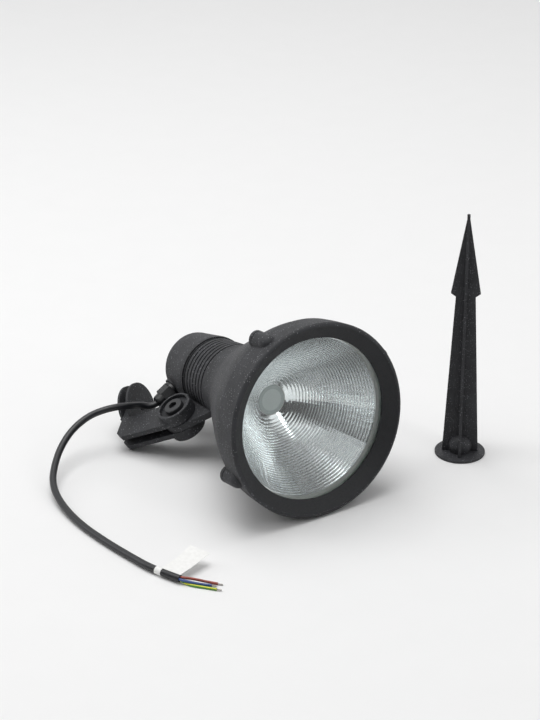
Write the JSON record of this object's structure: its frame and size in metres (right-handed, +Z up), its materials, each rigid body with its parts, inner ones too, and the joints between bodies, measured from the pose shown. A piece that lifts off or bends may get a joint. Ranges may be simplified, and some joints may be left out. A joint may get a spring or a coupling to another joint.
{
  "type": "garden spike spotlight",
  "caption": "Round black garden spotlight with a faceted reflector, a ribbed neck, a swivel bracket with a round foot, a bare-ended cord and a separate ground spike.",
  "frame": {"origin": "on the floor, under the middle of the lamp and its spike as they stand, without the cord", "axes": "+Z up; the lamp lies on its front ring and faces -Y and +X; +X runs from the bracket towards the spike"},
  "size_m": [0.4273, 0.3574, 0.256],
  "materials": {
    "black_casting": "sandy matt black powder coat on a casting",
    "spike_casting": "speckled black powder coat on a casting",
    "clear_glass": "clear toughened",
    "grey_silicone": "matt",
    "black_rubber": "matt",
    "bright_aluminium": "bright facets",
    "white_plastic": "satin",
    "phosphor": "satin",
    "board_aluminium": "plain",
    "zinc_steel": "zinc plated",
    "black_bolt": "black oxide",
    "driver_plastic": "plain",
    "terminal_plastic": "plain",
    "black_gloss_plastic": "glossy",
    "nylon": "plain",
    "insert_brass": "plain",
    "cord_rubber": "satin black",
    "core_brown": "smooth",
    "core_blue": "smooth",
    "core_green_yellow": "smooth",
    "copper": "bare strands",
    "tag_white": "blank"
  },
  "bodies": {
    "head": {"cable_gland_body": "black_gloss_plastic", "cable_gland_nut": "black_gloss_plastic", "copper_ends": "copper", "cord": "cord_rubber", "cord_tag": "tag_white", "core_blue": "core_blue", "core_brown": "core_brown", "core_green_yellow": "core_green_yellow", "driver_box": "driver_plastic", "driver_screws": "zinc_steel", "front_glass": "clear_glass", "front_ring": "black_casting", "gland_ring": "black_rubber", "gland_seal": "black_rubber", "glass_gasket": "grey_silicone", "heat_spreader": "board_aluminium", "lamp_housing": "black_casting", "led_board": "board_aluminium", "led_emitter": "phosphor", "led_holder": "white_plastic", "led_screws": "zinc_steel", "rear_cap": "black_casting", "rear_cap_seal": "black_rubber", "reflector": "bright_aluminium", "ring_screws": "zinc_steel", "spike": "spike_casting", "spike_insert": "insert_brass", "terminal_block": "terminal_plastic"},
    "bracket": {"swivel_bracket": "black_casting", "pivot_bolt": "black_bolt", "pivot_nut": "zinc_steel", "friction_washers": "nylon"}
  },
  "joints": [
    {"name": "bracket_tilt", "type": "hinge", "parent": "head", "child": "bracket", "pos_m": [-0.11782, 0.03427, 0.04164], "axis": [-0.4869, -0.1623, 0.8582], "range_deg": [-8, 105]}
  ]
}
